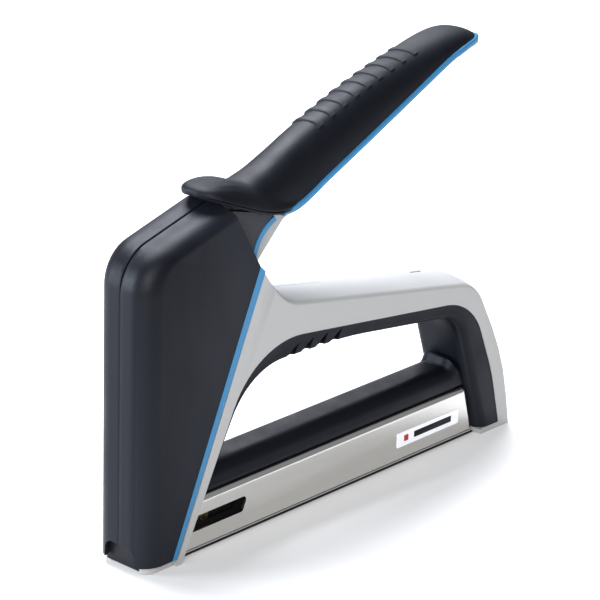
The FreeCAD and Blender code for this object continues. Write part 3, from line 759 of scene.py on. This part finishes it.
def lever_tray():
    """The blue tray that carries the grip, with a rounded tip."""
    tray = loft("lever_tray", spread(73.5, 180, 70) + spread(180.5, TRAY_TIP - 0.02, 30), tray_section)
    attach(tray, "lever", FINISH["blue_plastic"], ["lever_trim"], sharp=50)


PAD_COUNT = 9
PAD_FIRST = 98
PAD_PITCH = 6.6
PAD_HALF = 1.5
PAD_SLANT = 6
PAD_SINK, PAD_RISE = -0.5, 0.55
PAD_COLUMNS = 6
PAD_ROWS = 14
PAD_FROM, PAD_TO = 0.33, 0.67  # shares of the grip's section
SECTION_STEPS = 60


def grip_bars():
    """Plain raised bars on the back of the grip, each a low pad that follows its curve."""
    maker = bmesh.new()
    for number in range(PAD_COUNT):
        middle = PAD_FIRST + number * PAD_PITCH
        pad = []
        for i, offset in enumerate(spread(-PAD_HALF, PAD_HALF, PAD_COLUMNS)):
            line = []
            for j, turn in enumerate(spread(PAD_FROM, PAD_TO, PAD_ROWS)):
                rim = i in (0, PAD_COLUMNS) or j in (0, PAD_ROWS)
                station = middle + offset + (turn - 0.5) * PAD_SLANT
                section = grip_section(station, PAD_SINK if rim else PAD_RISE, steps=SECTION_STEPS)
                across, height = section[round(turn * SECTION_STEPS)]
                line.append(maker.verts.new(point(station, height, across)))
            pad.append(line)
        for low, high in zip(pad, pad[1:]):
            for j in range(PAD_ROWS):
                maker.faces.new((low[j], low[j + 1], high[j + 1], high[j]))
        under = [pad[0][j] for j in range(PAD_ROWS + 1)]
        under += [pad[i][PAD_ROWS] for i in range(1, PAD_COLUMNS + 1)]
        under += [pad[PAD_COLUMNS][j] for j in range(PAD_ROWS - 1, -1, -1)]
        under += [pad[i][0] for i in range(PAD_COLUMNS - 1, 0, -1)]
        maker.faces.new(under)
    attach(assembled("grip_bars", maker), "lever", FINISH["black_rubber"], sharp=50)


# ---------------------------------------------------------------- label, painted shade under the magazine, and nose plate

MARK_LOW, MARK_HIGH, MARK_RADIUS = 9.7, 12.3, 0.3
# name, finish, from and to station
MARKS = (
    ("label_bar", BLACKENED, 152.6, 175.2),
    ("label_square", RED_PRINT, 146.6, 149.2),
)
# across, inward shift
MARK_LAYERS = ((-11.0, 0.05), (-10.96, 0.0), (-10.9, 0.0))
# a thin dark strip under the magazine cover's lower edge, painted shade along its fold
SHADE_STRIP = [(19.6, 0.75), (19.6, 1.3), (189.6, 1.3), (189.8, 0.75)]
SHADE_STRIP_LAYERS = ((10.0, 0.0), (10.66, 0.0), (10.74, 0.1))
PLATE = [(3.15, 0.6), (3.15, 12.4, 0.1), (3.55, 12.4, 0.1), (3.55, 0.6)]
PLATE_LAYERS = ((-9.2, 0.0), (9.2, 0.0))


def even_slab(corners, layers):
    """A slab whose layers are (across, one inward shift for every edge)."""
    return slab(corners, [(across, [shift] * len(corners)) for across, shift in layers])


def label_marks():
    """A plain bar and a plain square on the label, a hair proud of it."""
    for name, finish, start, end in MARKS:
        corners = [(start, MARK_LOW), (start, MARK_HIGH), (end, MARK_HIGH), (end, MARK_LOW)]
        maker = even_slab([(*corner, MARK_RADIUS) for corner in corners], MARK_LAYERS)
        attach(assembled(name, maker), "body", finish, sharp=50)


def magazine_shade_strip(side):
    """A thin dark strip just under the magazine cover's lower edge: painted shade along its fold."""
    maker = even_slab(SHADE_STRIP, SHADE_STRIP_LAYERS)
    if side == "left":
        mirrored(maker)
    attach(assembled("magazine_shade_strip_" + side, maker), "body", BLACKENED, sharp=50)


def nose_plate():
    """A dark plate behind the notch at the foot of the nose."""
    attach(assembled("nose_plate", even_slab(PLATE, PLATE_LAYERS)), "body", BLACKENED, sharp=50)


# ---------------------------------------------------------------- build

for side in ("left", "right"):
    nose_cover(side)
    frame_half(side)
liner()
magazine_bar()
lever_grip()
lever_tray()
grip_bars()
label_marks()
# painted shade under the magazine cover's lower edge, on both sides
for side in ("left", "right"):
    magazine_shade_strip(side)
nose_plate()


# ---------------------------------------------------------------- floor, light and camera

TARGET = Vector((-0.0068, 0.0022, 0.0791))
FLOOR_SIZE = 6.0
FLOOR_DROP = 0.0002
PAPER_GLOW = 0.28
SKY_COLOUR = (0.96, 0.97, 1.0, 1)
SKY_STRENGTH = 0.42
# name, azimuth, elevation, distance, width, power, colour
LIGHTS = (
    ("overhead", 166, 66, 1.3, 0.85, 46, (0.92, 0.94, 1.0)),
    ("backdrop", 140, 30, 1.5, 1.0, 6, (0.92, 0.94, 1.0)),
    ("side_fill", -52, 22, 1.6, 1.2, 28, (1, 1, 1)),
    ("front_card", -130, 10, 1.1, 0.5, 15, (0.82, 0.9, 1.0)),
)
CAMERA_AZIMUTH, CAMERA_ELEVATION, CAMERA_ROLL = -47.55, 21.09, 1.24
CAMERA_DISTANCE = 1.22
CAMERA_LENS = 192.4
SENSOR_WIDTH = 36
CLIP_END = 50
VIEW_GAMMA = 0.86


def toward(azimuth, elevation):
    """The direction from the target to a light or camera, from its azimuth and elevation in degrees."""
    azimuth, elevation = math.radians(azimuth), math.radians(elevation)
    level = math.cos(elevation)
    return Vector((math.sin(azimuth) * level, -math.cos(azimuth) * level, math.sin(elevation)))


def area_light(name, azimuth, elevation, distance, width, power, colour):
    data = bpy.data.lights.new(name, "AREA")
    data.shape = "DISK"
    data.size = width
    data.energy = power
    data.color = colour
    lamp = new_piece(name, data)
    back = toward(azimuth, elevation)
    lamp.location = TARGET + back * distance
    lamp.rotation_euler = back.to_track_quat("Z", "Y").to_euler()


floor_maker = bmesh.new()
bmesh.ops.create_grid(floor_maker, x_segments=8, y_segments=8, size=FLOOR_SIZE)
floor = assembled("floor", floor_maker)
floor.location.z = -FLOOR_DROP
paper = node_material("paper", (0.5, 0.5, 0.503), 0.85, grain=40, depth=0.02, variation=0.004, specular=0.1)
paper_shader = paper.node_tree.nodes["Principled BSDF"]
paper_shader.inputs["Emission Color"].default_value = (1, 1, 1, 1)
paper_shader.inputs["Emission Strength"].default_value = PAPER_GLOW
floor.data.materials.append(paper)

world = bpy.data.worlds.new("studio")
bpy.context.scene.world = world
world.use_nodes = True
sky = world.node_tree.nodes["Background"]
sky.inputs["Color"].default_value = SKY_COLOUR
sky.inputs["Strength"].default_value = SKY_STRENGTH
for light in LIGHTS:
    area_light(*light)

camera_data = bpy.data.cameras.new("camera")
camera_data.lens = CAMERA_LENS
camera_data.sensor_width = SENSOR_WIDTH
camera_data.clip_end = CLIP_END
camera = new_piece("camera", camera_data)
toward_camera = toward(CAMERA_AZIMUTH, CAMERA_ELEVATION)
roll = Matrix.Rotation(math.radians(CAMERA_ROLL), 4, "Z").to_quaternion()
camera.location = TARGET + toward_camera * CAMERA_DISTANCE
camera.rotation_mode = "QUATERNION"
camera.rotation_quaternion = toward_camera.to_track_quat("Z", "Y") @ roll
bpy.context.scene.camera = camera
bpy.context.scene.view_settings.view_transform = "Standard"
bpy.context.scene.view_settings.gamma = VIEW_GAMMA
